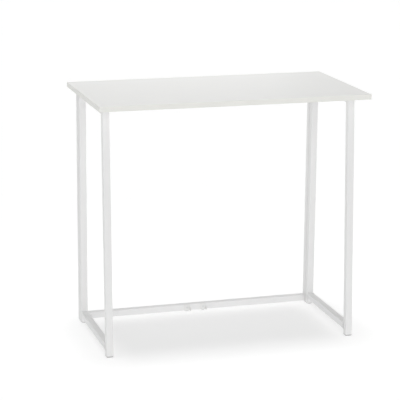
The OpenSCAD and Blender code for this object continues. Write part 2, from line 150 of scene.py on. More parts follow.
class DeskFittingSizes(bpy.types.PropertyGroup):
    """Sizes of the board's edges and of the plates, plugs, screws and pads."""

    board_ease: distance("Board edge", "Rounding of the board's own edges under the banding", 0.12 * MM)
    band_arris: distance("Band arris", "Rounding of the banding's outer edges", 0.45 * MM)
    plate_ease: distance("Plate edge", "Rounding of cut steel plates", 0.35 * MM)
    mould_ease: distance("Moulded edge", "Rounding of moulded plastic edges", 0.4 * MM)
    fine_ease: distance("Fine edge", "Rounding of the plugs', bushes' and stops' small edges", 0.24 * MM)
    pin: distance("Pin radius", "Radius of the pivot pins", 4 * MM)
    pin_chamfer: distance("Pin chamfer", "Chamfer at a pin's ends", 0.6 * MM)
    bore_gap: distance("Bore gap", "Clearance round a pin or a screw", 0.05 * MM)
    screw: distance("Screw radius", "Radius of the wood screws", 1.75 * MM)
    screw_head: distance("Screw head radius", "Radius of a wood screw's head", 3.6 * MM)
    screw_top: distance("Screw head height", "Height of a wood screw's head", 2.2 * MM)
    screw_gap: distance("Screw spacing", "Distance between the two screws of a bracket", 14 * MM)
    screw_depth: distance("Screw hole depth", "Depth of a screw hole in the board", 10.5 * MM)
    catch_screw: distance("Catch screw radius", "Radius of the countersunk screws in the catches", 1.5 * MM)
    catch_head: distance("Catch screw head", "Radius of a catch screw's head", 3 * MM)
    cross_width: distance("Cross width", "Width of a cross recess", 0.7 * MM)
    cross_length: distance("Cross length", "Length of a cross recess", 3.4 * MM)
    cross_depth: distance("Cross depth", "Depth of a cross recess", 0.9 * MM)
    bolt: distance("Bolt radius", "Radius of a desktop pivot bolt", 3 * MM)
    bolt_head: distance("Bolt head height", "Height of a pivot bolt's head", 3.5 * MM)
    bolt_key: distance("Bolt key", "Across flats of the key socket", 4 * MM)
    washer: distance("Washer", "Thickness of the pivot bolts' washers", 1 * MM)
    washer_ease: distance("Washer edge", "Rounding of the washers and the inserts' flanges", 0.2 * MM)
    insert: distance("Insert radius", "Radius of a threaded insert's sleeve", 4.5 * MM)
    insert_ease: distance("Insert edge", "Rounding of a threaded insert's sleeve", 0.3 * MM)
    plate_corner: distance("Plate corner", "Radius of a pivot plate's rear corners", 1.5 * MM)
    sheet: distance("Bracket steel", "Thickness of the brackets' steel", 2.5 * MM)
    fold: distance("Bracket fold", "Inner radius of a bracket's fold", 1.5 * MM)
    bracket: distance("Bracket width", "Width of a bracket's upright plate", 19 * MM)
    flange_corner: distance("Flange corner", "Radius of a bracket flange's free corners", 3 * MM)
    fold_corner: distance("Fold corner", "Radius of a bracket flange's corners at the fold", 0.5 * MM)
    stop_wall: distance("Stop wall", "Wall of a corner stop beside the rail", 3.5 * MM)
    stop_base: distance("Stop base", "Thickness of a corner stop's base", 3 * MM)
    stop_corner: distance("Stop corner", "Radius of a corner stop's base corners", 2 * MM)
    stop_overlap: distance("Stop overlap", "How far a stop's base reaches into its wall", 1 * MM)
    gusset: distance("Stop rib length", "Length of a corner stop's ribs, along and down", 5 * MM)
    rib: distance("Stop rib", "Thickness of a corner stop's ribs", 1.5 * MM)
    rib_sunk: distance("Rib root", "How far a rib is sunk into the wall and the base", 0.2 * MM)
    foot_head: distance("Foot height", "Height of a front foot's head", 4 * MM)
    sole: distance("Sole height", "Height of a front foot's narrower sole", 1 * MM)
    sole_inset: distance("Sole inset", "How far a sole is set in all round", 0.8 * MM)
    bush_head: distance("Bush head", "Thickness of a bush's head", 1.7 * MM)
    plug_inset: distance("Plug inset", "How far a plug's stem is set in from the tube's outside", 1.3 * MM)
    catch_plate: distance("Catch plate", "Thickness of a catch's plate and finger", 2 * MM)
    catch_corner: distance("Catch corner", "Radius of a catch plate's corners", 1.5 * MM)
    catch_lip: distance("Catch lip", "Thickness of the lip under the stretcher", 1.5 * MM)
    lip_width: distance("Lip width", "Width of the lip under the stretcher", 9 * MM)
    lip_ease: distance("Lip edge", "Rounding of the lip under the stretcher", 0.2 * MM)
    catch_tip: distance("Finger tip", "Rounding of a catch finger's tip", 0.9 * MM)
    finger_height: distance("Finger height", "Height of a catch's finger", 10 * MM)
    finger_rise: distance("Finger rise", "Bottom of a catch's plate to the bottom of its finger", 1 * MM)
    finger_root: distance("Finger root", "How far a catch's finger reaches into its plate", 1.2 * MM)
    pad_ease: distance("Pad edge", "Rounding of the foam rest pads", 0.5 * MM)


class DeskColours(bpy.types.PropertyGroup):
    """Colours of the desk's finishes."""

    board: colour("Board", "Melamine coating of the board", (0.80, 0.80, 0.785))
    band: colour("Edge band", "Edge banding, slightly warmer than the board", (0.85, 0.85, 0.812))
    steel: colour("Powder coat", "Powder coat of the tubes, plates and brackets", (0.865, 0.865, 0.863))
    plastic: colour("Plastic", "Moulded plugs, glides, stops and catches", (0.83, 0.83, 0.82))
    zinc: colour("Zinc", "Plating of the pins, screws and bolts", (0.80, 0.805, 0.81))
    foam: colour("Foam", "Foam rubber rest pads", (0.52, 0.52, 0.51))


class DeskStudio(bpy.types.PropertyGroup):
    """Camera, lamps and floor."""

    camera: position("Camera", "Place of the camera", (-1.3862, -4.4217, 1.5457))
    yaw: rotation("Yaw", "How far the camera looks to the right of +Y", 16.840)
    pitch: rotation("Pitch", "How far the camera looks down", 13.908)
    roll: rotation("Roll", "Turn of the camera about its own line of sight", 0.455)
    lens: amount("Lens", "Focal length in millimetres", 144.87, high=500.0)
    sensor: amount("Sensor", "Width of the camera's sensor in millimetres", 36.0, high=100.0)
    sight: distance("Sight", "How far the camera sees", 200, 10, 1000)
    ambient: amount("Ambient", "Brightness of the studio's walls, where 1 is white", 0.33)
    over_light: amount("Overhead light", "Share of the light that comes from overhead", 0.40)
    over_from: aim("Overhead from", "Direction towards the overhead light", (0.0, 0.02, 1.0))
    over_soft: rotation("Overhead softness", "Angle that the overhead light fills, seen from the desk", 18)
    front_light: amount("Front light", "Share of the light that comes from the front", 0.42)
    front_from: aim("Front from", "Direction towards the front light", (-0.06, -0.98, 0.10))
    front_soft: rotation("Front softness", "Angle that the front light fills, seen from the desk", 60)
    side_light: amount("Side light", "Share of the light that comes from the left", 0.13)
    side_from: aim("Side from", "Direction towards the side light", (-0.97, -0.22, 0.10))
    side_soft: rotation("Side softness", "Angle that the side light fills, seen from the desk", 50)
    rear_power: amount("Rear light", "Power of the soft light behind the desk, in watts", 0.78, high=100.0)
    rear_place: position("Rear place", "Place of the soft light behind the desk", (0.07, 0.60, 1.05))
    rear_size: distance("Rear size", "Width of the soft light behind the desk", 0.8, 0.1, 10)
    floor_light: amount("Floor light", "Brightness of the lit floor, as the desk sees it", 0.90)
    shade: amount("Shadow depth", "How much of the floor's own shading shows round the desk", 0.68)
    open_floor: amount("Open floor", "Level that the unshaded floor would have under a light of 1", 1.129)
    floor_size: distance("Floor size", "Width of the studio floor", 60, 10, 200)


class Shade:
    """A node's output, on which Python's operators add Math nodes."""

    def __init__(self, finish, socket):
        self.finish = finish
        self.socket = socket

    def maths(self, operation, first, second):
        return self.finish.node("ShaderNodeMath", {"operation": operation}, {0: first, 1: second})

    def __add__(self, other):
        return self.maths("ADD", self, other)

    def __radd__(self, other):
        return self.maths("ADD", other, self)

    def __sub__(self, other):
        return self.maths("SUBTRACT", self, other)

    def __rsub__(self, other):
        return self.maths("SUBTRACT", other, self)

    def __mul__(self, other):
        return self.maths("MULTIPLY", self, other)

    def __rmul__(self, other):
        return self.maths("MULTIPLY", other, self)

    def __or__(self, other):
        return self.maths("MAXIMUM", self, other)


class Finish:
    """A material or a world whose nodes are added by calls."""

    def __init__(self, owner):
        owner.use_nodes = True
        self.owner = owner
        self.tree = owner.node_tree
        self.tree.nodes.clear()

    def node(self, kind, settings=None, inputs=None, output=0):
        """Adds a node: its settings first, then the values or links of its inputs. Returns one output."""
        made = self.tree.nodes.new(kind)
        for name, value in (settings or {}).items():
            setattr(made, name, value)
        for name, value in (inputs or {}).items():
            if isinstance(value, Shade):
                self.tree.links.new(value.socket, made.inputs[name])
            else:
                made.inputs[name].default_value = value
        return Shade(self, made.outputs[output]) if made.outputs else None

    def place(self):
        """Coordinates in the desk's own frame, in metres."""
        return self.node("ShaderNodeTexCoord", output="Object")

    def stretched(self, place, scale):
        """Coordinates with a scale for each axis."""
        return self.node("ShaderNodeMapping", inputs={"Vector": place, "Scale": scale})

    def noise(self, place, size, detail=2.0, roughness=0.5):
        """Noise from 0 to 1 whose features are about a size across, in metres."""
        inputs = {"Vector": place, "Scale": 1 / size, "Detail": detail, "Roughness": roughness}
        return self.node("ShaderNodeTexNoise", inputs=inputs)

    def cells(self, place, size):
        """Distance to the nearest of scattered points that lie about a size apart, in metres."""
        return self.node("ShaderNodeTexVoronoi", inputs={"Vector": place, "Scale": 1 / size})

    def rise(self, place, low, high):
        """Height above the floor, as 0 at a low level to 1 at a high one."""
        height = self.node("ShaderNodeSeparateXYZ", inputs={0: place}, output=2)
        inputs = {"Value": height, "From Min": low, "From Max": high}
        return self.node("ShaderNodeMapRange", {"interpolation_type": "SMOOTHSTEP"}, inputs)

    def tint(self, base, amount, mask):
        """A colour that goes from a little darker to itself as a mask goes from 0 to 1."""
        dark = [channel * (1 - amount) for channel in base]
        inputs = {0: mask, 6: (*dark, 1), 7: (*base, 1)}
        return self.node("ShaderNodeMix", {"data_type": "RGBA", "clamp_factor": True}, inputs, output=2)

    def bump(self, height, depth, strength=1.0):
        """Surface normal from a height of 0 to 1 that stands for a depth in metres."""
        return self.node("ShaderNodeBump", inputs={"Height": height, "Distance": depth, "Strength": strength})

    def surface(self, **inputs):
        """Principled shader on the material's output. Underscores in names stand for spaces."""
        named = {name.replace("_", " "): value for name, value in inputs.items()}
        shader = self.node("ShaderNodeBsdfPrincipled", inputs=named)
        self.node("ShaderNodeOutputMaterial", inputs={"Surface": shader})
        return self.owner


def new_finish(name):
    """A new material, ready for its nodes."""
    return Finish(bpy.data.materials.new(name))


def melamine(finish, colours):
    """White melamine coating: almost even, with a fine pressed grain."""
    place = finish.place()
    cloud = finish.noise(place, 90 * MM, 3)
    grain = finish.noise(place, 0.9 * MM, 3, 0.6)
    return finish.surface(
        Base_Color=finish.tint(colours.board, 0.025, cloud),
        Roughness=0.40 + 0.10 * grain + 0.06 * cloud,
        IOR=1.48,
        Normal=finish.bump(grain, 0.02 * MM, 0.5),
    )


def edge_banding(finish, colours):
    """White plastic banding with faint lengthwise trimming marks."""
    place = finish.place()
    cloud = finish.noise(place, 60 * MM, 2)
    marks = finish.noise(finish.stretched(place, (0.02, 0.02, 1)), 0.8 * MM, 2)
    return finish.surface(
        Base_Color=finish.tint(colours.band, 0.03, cloud),
        Roughness=0.36 + 0.12 * marks,
        IOR=1.48,
        Normal=finish.bump(marks, 0.02 * MM, 0.4),
    )


def powder_coat(finish, colours):
    """White powder coat with a slight orange peel."""
    place = finish.place()
    cloud = finish.noise(place, 45 * MM, 3)
    peel = finish.noise(place, 1.6 * MM, 1.5)
    speckle = finish.noise(place, 0.4 * MM, 1)
    return finish.surface(
        Base_Color=finish.tint(colours.steel, 0.03, cloud),
        Roughness=0.34 + 0.10 * speckle + 0.08 * cloud,
        IOR=1.5,
        Normal=finish.bump(peel, 0.04 * MM, 0.5),
    )


def weld_coat(finish, colours):
    """Powder coat over a weld: thicker, and uneven along the bead."""
    place = finish.place()
    lumps = finish.noise(place, 2.4 * MM, 2)
    return finish.surface(
        Base_Color=finish.tint(colours.steel, 0.06, lumps),
        Roughness=0.32 + 0.14 * lumps,
        IOR=1.5,
        Normal=finish.bump(lumps, 0.12 * MM, 0.7),
    )


def moulded_plastic(finish, colours):
    """White moulded plastic with a spark-eroded texture, greyed by painted contact shade where it stands on
    the floor.
    """
    place = finish.place()
    cloud = finish.noise(place, 12 * MM, 2)
    texture = finish.noise(place, 0.35 * MM, 2, 0.7)
    # Painted contact shade: 0 at the floor, rising to 1 at 5 mm, standing in for the shadow where the plastic
    # meets the floor
    clear_of_painted_shade = finish.rise(place, 0.5 * MM, 5 * MM)
    return finish.surface(
        # The painted contact shade darkens the colour by up to half at the floor; the cloud adds a slight
        # random variation in tone
        Base_Color=finish.tint(colours.plastic, 0.5, clear_of_painted_shade * (0.93 + 0.07 * cloud)),
        Roughness=0.46 + 0.14 * texture,
        IOR=1.46,
        Normal=finish.bump(texture, 0.03 * MM, 0.6),
    )


def zinc_plating(finish, colours):
    """Bright zinc plating, clouded, with fine turning marks."""
    place = finish.place()
    cloud = finish.noise(place, 3 * MM, 3)
    marks = finish.noise(finish.stretched(place, (1, 1, 6)), 0.5 * MM, 1)
    return finish.surface(
        Base_Color=finish.tint(colours.zinc, 0.14, cloud),
        Metallic=1.0,
        Roughness=0.26 + 0.14 * marks + 0.08 * cloud,
        Normal=finish.bump(marks, 0.02 * MM, 0.5),
    )


def foam_rubber(finish, colours):
    """Pale foam rubber with open pores."""
    place = finish.place()
    pores = finish.cells(place, 0.5 * MM)
    cloud = finish.noise(place, 8 * MM, 2)
    return finish.surface(
        Base_Color=finish.tint(colours.foam, 0.10, cloud),
        Roughness=0.80 + 0.15 * pores,
        Sheen_Weight=0.15,
        Normal=finish.bump(pores, 0.15 * MM, 0.7),
    )


FINISHES = {
    "board": melamine,
    "edge_band": edge_banding,
    "white_steel": powder_coat,
    "white_plastic": moulded_plastic,
    "zinc": zinc_plating,
    "soft_pad": foam_rubber,
}


def finish_for(slot):
    """The material of a slot of the record, made when it is first asked for."""
    name = f"desk_{slot}"
    return bpy.data.materials.get(name) or FINISHES[slot](new_finish(name), bpy.context.scene.desk_colours)


def verts_of(geometry):
    return [part for part in geometry if isinstance(part, bmesh.types.BMVert)]


def edges_of(geometry):
    return [part for part in geometry if isinstance(part, bmesh.types.BMEdge)]


def ends_of(edges):
    """The vertices at the ends of edges, each once and always in the same order."""
    return list(dict.fromkeys(vert for edge in edges for vert in edge.verts))


def links_of(verts):
    """The edges that meet vertices, each once and always in the same order."""
    return list(dict.fromkeys(edge for vert in verts for edge in vert.link_edges))


def on_plane(edge, axis, level):
    """Whether an edge lies in a plane across an axis."""
    return all(abs(vert.co[axis] - level) < NEAR for vert in edge.verts)


def is_level(edge):
    """Whether an edge's two ends are at the same height."""
    return on_plane(edge, 2, edge.verts[0].co.z)


def hard_edges(bm, degrees=40):
    """Edges that are sharper than an angle."""
    return [edge for edge in bm.edges if edge.calc_face_angle(0) > math.radians(degrees)]


def ease(bm, parts, offset, segments=3, affect="EDGES"):
    """Rounds edges, or a flat outline's corners where it affects vertices."""
    bmesh.ops.bevel(
        bm, geom=parts, offset=offset, offset_type="OFFSET", segments=segments, profile=0.5, affect=affect,
        material=-1, clamp_overlap=True,
    )


def ring(bm, radius, sides, place=Matrix.Identity(4)):
    """Draws a circle in the XY plane of a matrix, and returns its edges."""
    made = bmesh.ops.create_circle(bm, cap_ends=False, radius=radius, segments=sides, matrix=place)["verts"]
    return links_of(made)


def carry(bm, loops, step):
    """Extrudes open loops of edges along a vector, and returns their new ends."""
    made = bmesh.ops.extrude_edge_only(bm, edges=loops)["geom"]
    ends = verts_of(made)
    bmesh.ops.translate(bm, vec=step, verts=ends)
    return [edge for edge in edges_of(made) if set(edge.verts) <= set(ends)]


def turn(bm, loops, centre, axis, angle, steps):
    """Spins open loops of edges about an axis, and returns their new ends."""
    made = bmesh.ops.spin(
        bm, geom=ends_of(loops) + loops, cent=centre, axis=axis, dvec=(0, 0, 0), angle=angle, steps=steps,
        use_duplicate=False,
    )["geom_last"]
    return edges_of(made)


def rectangle(low, high, near, far=None, axis=1, steps=12):
    """Outline: a rectangle, with a near radius at the corners low on an axis, and a far one at the others."""

    def draw(bm):
        bmesh.ops.create_grid(bm, x_segments=1, y_segments=1, size=0.5)
        bmesh.ops.scale(bm, vec=(high[0] - low[0], high[1] - low[1], 1), verts=bm.verts)
        bmesh.ops.translate(bm, vec=((low[0] + high[0]) / 2, (low[1] + high[1]) / 2, 0), verts=bm.verts)
        far_radius = near if far is None else far
        corners = {radius: [] for radius in sorted((near, far_radius))}
        for vert in bm.verts:
            is_near = vert.co[axis] < (low[axis] + high[axis]) / 2
            corners[near if is_near else far_radius].append(vert)
        for radius, verts in corners.items():
            if radius:
                ease(bm, verts, radius, steps, "VERTICES")

    return draw


def square(width, radius, wall=0.0, steps=5):
    """Outline: a square with round corners about the origin, and that of its bore if it has a wall."""

    def draw(bm):
        sections = [(width, radius)]
        if wall:
            sections.append((width - 2 * wall, radius / 2))
        for across, corner in sections:
            reach = across / math.sqrt(2)
            made = bmesh.ops.create_circle(bm, cap_ends=True, radius=reach, segments=4)["verts"]
            bmesh.ops.rotate(bm, verts=made, cent=(0, 0, 0), matrix=Matrix.Rotation(math.radians(45), 3, "Z"))
            ease(bm, made, corner, steps, "VERTICES")

    return draw


def disc(radius, sides=48):
    """Outline: a circle about the origin."""
    return lambda bm: ring(bm, radius, sides)


def drawn(outline):
    """A bmesh that holds only an outline's edges."""
    bm = bmesh.new()
    outline(bm)
    bmesh.ops.delete(bm, geom=bm.faces[:], context="FACES_ONLY")
    return bm


def thickened(bm, step):
    """Gives flat faces a thickness, along a vector."""
    made = bmesh.ops.extrude_face_region(bm, geom=bm.faces[:])["geom"]
    bmesh.ops.translate(bm, vec=step, verts=verts_of(made))
    return bm


def block(low, high, offset=0.0):
    """Box between two corners, with rounded edges."""
    bm = bmesh.new()
    bmesh.ops.create_cube(bm, size=1)
    bmesh.ops.scale(bm, vec=high - low, verts=bm.verts)
    bmesh.ops.translate(bm, vec=(low + high) / 2, verts=bm.verts)
    if offset:
        ease(bm, bm.edges[:], offset)
    return bm


def slab(outline, depth, holes=(), offset=0.0):
    """Flat plate from z = 0 up. An outline draws its face, and each hole is an x, a y and a radius."""
    bm = drawn(outline)
    for x, y, radius in holes:
        ring(bm, radius, sides=32, place=at(x, y, 0))
    bmesh.ops.triangle_fill(bm, use_beauty=True, edges=bm.edges[:])
    thickened(bm, (0, 0, depth))
    if offset:
        ease(bm, hard_edges(bm), offset, 2)
    return bm


def gusset(length, thickness):
    """Triangular rib for a corner: it runs along X and down along Z, and its thickness is along Y."""
    bm = bmesh.new()
    bm.faces.new([bm.verts.new((x, 0, z)) for x, z in ((0, 0), (length, 0), (0, -length))])
    return thickened(bm, (0, thickness, 0))


def swept(outline, start, moves, hollow=False):
    """Bar or tube: its outline starts at a matrix, and each move is a function that carries its end on."""
    bm = drawn(outline)
    bmesh.ops.transform(bm, matrix=start, verts=bm.verts)
    first = bm.edges[:]
    last = first
    for move in moves:
        last = move(bm, last)
    for end in (first, last):
        if hollow:
            bmesh.ops.bridge_loops(bm, edges=end)
        else:
            bmesh.ops.edgeloop_fill(bm, edges=end)
    return bm


def along(step):
    """Move of a sweep: straight on."""
    return lambda bm, loops: carry(bm, loops, step)


def round_bend(centre, axis, steps):
    """Move of a sweep: round a quarter bend."""
    return lambda bm, loops: turn(bm, loops, centre, axis, math.radians(90), steps)


def fitted(matrix):
    """Move of a sweep: carries only its end's outline, as far as a matrix says."""

    def move(bm, loops):
        bmesh.ops.transform(bm, matrix=matrix, verts=ends_of(loops))
        return loops

    return move


def onto_plane(point, normal, direction):
    """Matrix that slides everything along a direction on to a plane through a point."""
    slide = direction / direction.dot(normal)
    rows = [[float(row == column) - slide[row] * normal[column] for column in range(3)] for row in range(3)]
    return Matrix.Translation(point) @ Matrix(rows).to_4x4() @ Matrix.Translation(-point)


def length_of_tube(tube, start, moves):
    """Length of the desk's square tube, open through its bore."""
    outline = square(tube.width, tube.radius, tube.wall, tube.corner_steps)
    return swept(outline, start, moves, hollow=True)


def cross_pocket(length, width):
    """Pocket for a screw's head: a cross."""

    def draw(bm, z):
        centre = Vector((0, 0, z))
        middle = bmesh.ops.create_grid(
            bm, x_segments=1, y_segments=1, size=width / 2, matrix=Matrix.Translation(centre),
        )["verts"]
        for side in links_of(middle):
            outwards = (side.verts[0].co + side.verts[1].co) / 2 - centre
            made = bmesh.ops.extrude_edge_only(bm, edges=[side])["geom"]
            reach = outwards.normalized() * (length - width) / 2
            bmesh.ops.translate(bm, vec=reach, verts=verts_of(made))

    return draw


def hex_pocket(across):
    """Pocket for a bolt's head: a hexagon."""

    def draw(bm, z):
        corner = across / 2 / math.cos(math.radians(30))
        bmesh.ops.create_circle(bm, cap_ends=True, radius=corner, segments=6, matrix=at(0, 0, z))

    return draw


def turned(profile, pocket=None, depth=0.0, sides=32):
    """Round bar about Z from pairs of a radius and a z, the top face first, with a pocket in that face."""
    bm = bmesh.new()
    radius, top = profile[0]
    rim = []
    if pocket:
        pocket(bm, top - depth)
        rim = carry(bm, [edge for edge in bm.edges if edge.is_boundary], (0, 0, depth))
    loop = ring(bm, radius, sides, at(0, 0, top))
    bmesh.ops.triangle_fill(bm, use_beauty=True, edges=loop + rim)
    for (old_radius, old_z), (new_radius, new_z) in zip(profile, profile[1:]):
        loop = carry(bm, loop, (0, 0, new_z - old_z))
        share = new_radius / old_radius
        bmesh.ops.scale(bm, vec=(share, share, 1), verts=ends_of(loop))
    bmesh.ops.edgeloop_fill(bm, edges=loop)
    return bm


def pin_profile(radius, length, chamfer):
    """Profile of a plain pin from z = 0 up, chamfered at both ends."""
    return [(radius - chamfer, length), (radius, length - chamfer), (radius, chamfer), (radius - chamfer, 0)]


def pan_profile(radius, height, shank, length, flat=0.55, rim=0.35, steps=5):
    """Profile of a pan-head screw whose head's seat is at z = 0.

    The flat top is a share of the head's radius, and the straight rim is a share of its height."""
    crown = []
    for step in range(steps + 1):
        arc = math.radians(90 * step / steps)
        out = flat + (1 - flat) * math.sin(arc)
        up = rim + (1 - rim) * math.cos(arc)
        crown.append((radius * out, height * up))
    point = shank / 2
    return crown + [(radius, 0), (shank, 0), (shank, point - length), (shank - point, -length)]


def weld_bead(tube, bead, waist=0.86, sides=8, corner_steps=4):
    """Rippled bead round the tube's outline, in XY about the origin.

    The waist is a thin ring's width as a share of a thick one's."""
    bm = bmesh.new()
    flat = tube.width / 2 - tube.radius
    loops = ring(bm, bead, sides, at(tube.width / 2, -flat, 0) @ FACING_FRONT)
    steps = max(2, 2 * round(flat / tube.ripple))
    heading = Vector((0, 1, 0))
    corner = Vector((flat, flat, 0))
    quarter = Matrix.Rotation(math.radians(90), 3, "Z")
    for side in range(4):
        for step in range(steps):
            loops = carry(bm, loops, heading * 2 * flat / steps)
            share = waist if step % 2 == 0 else 1 / waist
            ends = ends_of(loops)
            middle = sum((vert.co for vert in ends), Vector()) / len(ends)
            bmesh.ops.scale(bm, vec=(share,) * 3, verts=ends, space=Matrix.Translation(-middle))
        loops = turn(bm, loops, corner, (0, 0, 1), math.radians(90), corner_steps)
        heading = quarter @ heading
        corner = quarter @ corner
    bmesh.ops.remove_doubles(bm, verts=bm.verts, dist=bead / 50)
    return bm


def mesh_from(bm, name):
    """A mesh with a bmesh's geometry. The bmesh is freed."""
    mesh = bpy.data.meshes.new(name)
    bm.to_mesh(mesh)
    bm.free()
    return mesh


def new_object(name, data):
    """A new object in the scene, at the origin."""
    made = bpy.data.objects.new(name, data)
    bpy.context.scene.collection.objects.link(made)
    return made


class Piece:
    """One object of the desk: collects closed solids, and is finished once."""

    def __init__(self, name, body, slot, *nodes, coat=None):
        self.name = name
        self.body = body
        self.slot = slot
        self.nodes = nodes
        self.coat = coat
        self.bm = bmesh.new()

    def add(self, solid, *matrices):
        """Takes a solid in, moved by the matrices, the last one first."""
        matrix = Matrix.Identity(4)
        for step in matrices:
            matrix = matrix @ step
        bmesh.ops.transform(solid, matrix=matrix, verts=solid.verts)
        bmesh.ops.recalc_face_normals(solid, faces=solid.faces[:])
        if solid.calc_volume(signed=True) < 0:
            bmesh.ops.reverse_faces(solid, faces=solid.faces[:])
        mesh = mesh_from(solid, "solid")
        self.bm.from_mesh(mesh)
        bpy.data.meshes.remove(mesh)
        return self

    def add_both(self, solid, *matrices):
        """Takes in the mirror image of a right-hand solid, and the solid itself."""
        self.add(solid.copy(), SIDES["left"], *matrices)
        return self.add(solid, SIDES["right"], *matrices)

    def finish(self, smooth_angle=35):
        """Makes the object, with smooth shading, its finish, its body and the nodes that it stands for."""
        mesh = mesh_from(self.bm, self.name)
        mesh.shade_smooth()
        mesh.set_sharp_from_angle(angle=math.radians(smooth_angle))
        piece = new_object(self.name, mesh)
        flat_faces = piece.modifiers.new("Flat faces", "WEIGHTED_NORMAL")
        flat_faces.keep_sharp = True
        mesh.materials.append(self.coat or finish_for(self.slot))
        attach(piece, self.body)
        if self.nodes:
            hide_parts(*self.nodes)
        return piece


def make_pair(name, body, slot, node, *solids, coat=None):
    """Makes the left and the right piece, with the side's name in place of {} in the names.

    Each solid is drawn for the right side, and after it come the matrices that move it, the last first."""
    for side, mirror in SIDES.items():
        nodes = [node.format(side)] if node else []
        piece = Piece(name.format(side), body.format(side), slot, *nodes, coat=coat)
        for solid, *matrices in solids:
            piece.add(solid.copy(), mirror, *matrices)
        piece.finish()
    for solid, *matrices in solids:
        solid.free()


def bracket_screw_places(fittings):
    """Centres of a right bracket's two screws."""
    middle, high = extent("bracket_screws")[1:]
    outer = high.x - fittings.screw_head
    return [(x, middle.y) for x in (outer - fittings.screw_gap, outer)]


def stop_screw_places(fittings):
    """Centres of the right stops' two screws, the front one first."""
    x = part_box("stop_screws")[1].x - fittings.screw_head
    return [(x, extent(f"stop_right_{end}")[1].y) for end in ENDS]


class DESK_OT_board(bpy.types.Operator):
    """Add the board, with its screw holes underneath"""

    bl_idname = "desk.board"
    bl_label = "Board"

    def execute(self, context):
        fittings = context.scene.desk_fittings
        low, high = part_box("desktop_board")
        bm = block(low, high)
        ease(bm, bm.edges[:], fittings.board_ease, 1)
        under = min(bm.faces, key=lambda face: face.calc_center_median().z)
        rims = list(under.edges)
        bmesh.ops.delete(bm, geom=[under], context="FACES_ONLY")
        holes = bracket_screw_places(fittings) + stop_screw_places(fittings)
        for x, y in holes + [(-x, y) for x, y in holes]:
            rim = ring(bm, fittings.screw + fittings.bore_gap, sides=24, place=at(x, y, low.z))
            rims += rim
            bmesh.ops.edgeloop_fill(bm, edges=carry(bm, rim, (0, 0, fittings.screw_depth)))
        bmesh.ops.triangle_fill(bm, use_beauty=True, edges=rims)
        Piece("top_board", "desktop", "board", "desktop_board").add(bm).finish()
        return {"FINISHED"}


class DESK_OT_edge_bands(bpy.types.Operator):
    """Add the edge banding round the board"""

    bl_idname = "desk.edge_bands"
    bl_label = "Edge Bands"

    def execute(self, context):
        board_low, board_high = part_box("desktop_board")
        for end, glued in zip(ENDS, (board_low.y, board_high.y)):
            self.add_band(context, end, lambda edge: not on_plane(edge, 1, glued))
        outer_faces = {"left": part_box("edge_band_left")[0].x, "right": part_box("edge_band_right")[1].x}
        for side, outer in outer_faces.items():
            self.add_band(context, side, lambda edge: on_plane(edge, 0, outer) and is_level(edge))
        return {"FINISHED"}

    def add_band(self, context, end, is_outer):
        """One band, whose outer edges are rounded."""
        band = block(*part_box(f"edge_band_{end}"))
        outer_edges = [edge for edge in band.edges if is_outer(edge)]
        ease(band, outer_edges, context.scene.desk_fittings.band_arris)
        Piece(f"banding_{end}", "desktop", "edge_band", f"edge_band_{end}").add(band).finish()


class DESK_OT_back_frame(bpy.types.Operator):
    """Add the uprights and the stretcher between them"""

    bl_idname = "desk.back_frame"
    bl_label = "Back Frame"

    def execute(self, context):
        tube = context.scene.desk_tube
        low, middle, high = extent("post_right")
        post = length_of_tube(tube, at(middle.x, middle.y, low.z), [along((0, 0, high.z - low.z))])
        make_pair("upright_{}", "back_frame", "white_steel", "post_{}", (post,))
        low, middle, high = extent("stretcher")
        start = at(low.x, middle.y, middle.z) @ ACROSS_X
        stretcher = length_of_tube(tube, start, [along((high.x - low.x, 0, 0))])
        Piece("rear_stretcher", "back_frame", "white_steel", "stretcher").add(stretcher).finish()
        return {"FINISHED"}


class SideFrame:
    """Places on the right side frame: its leaning front leg, the mitre above it and the bend behind."""

    def __init__(self, tube):
        low, middle, high = extent("rear_leg_right")
        half = tube.width / 2
        self.lean = math.atan(tube.lean / high.z)
        slice_depth = tube.width / math.cos(self.lean)
        self.leg = Vector((middle.x, high.y - half, low.z))
        self.bend = Vector((middle.x, high.y - half - tube.bend, high.z - half - tube.bend))
        inner_y = low.y - tube.width * math.tan(self.lean) + slice_depth
        mitre_tilt = math.atan((inner_y - low.y) / tube.width)
        self.mitre = Vector((middle.x, (low.y + inner_y) / 2, high.z - half))
        self.mitre_normal = Vector((0, math.cos(mitre_tilt), math.sin(mitre_tilt)))
        self.up_leg = Vector((0, math.sin(self.lean), math.cos(self.lean)))
        self.behind_leg = Vector((0, math.cos(self.lean), -math.sin(self.lean)))
        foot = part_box("front_leg_right")[0]
        self.foot = Vector((middle.x, foot.y + slice_depth / 2, foot.z))
        rail_low, rail_middle, rail_high = extent("side_rail_right")
        rail_start_y = rail_low.y + math.tan(self.lean) * half
        self.rail_start = Vector((middle.x, rail_start_y, rail_middle.z))
        self.rail_end = Vector((middle.x, rail_high.y, rail_middle.z))

    def mitred(self, direction):
        """Matrix that slides a tube's end on to the mitre plane."""
        return onto_plane(self.mitre, self.mitre_normal, direction)

    def against_leg(self):
        """Matrix that slides the lower rail's end on to the front leg's rear face."""
        return onto_plane(self.rail_start, self.behind_leg, ALONG_Y)

    def leaning(self, point):
        """Matrix of a leaning tube's level section at a point on its axis."""
        level = onto_plane(point, Vector((0, 0, 1)), self.up_leg)
        return level @ Matrix.Translation(point) @ Matrix.Rotation(-self.lean, 4, "X")


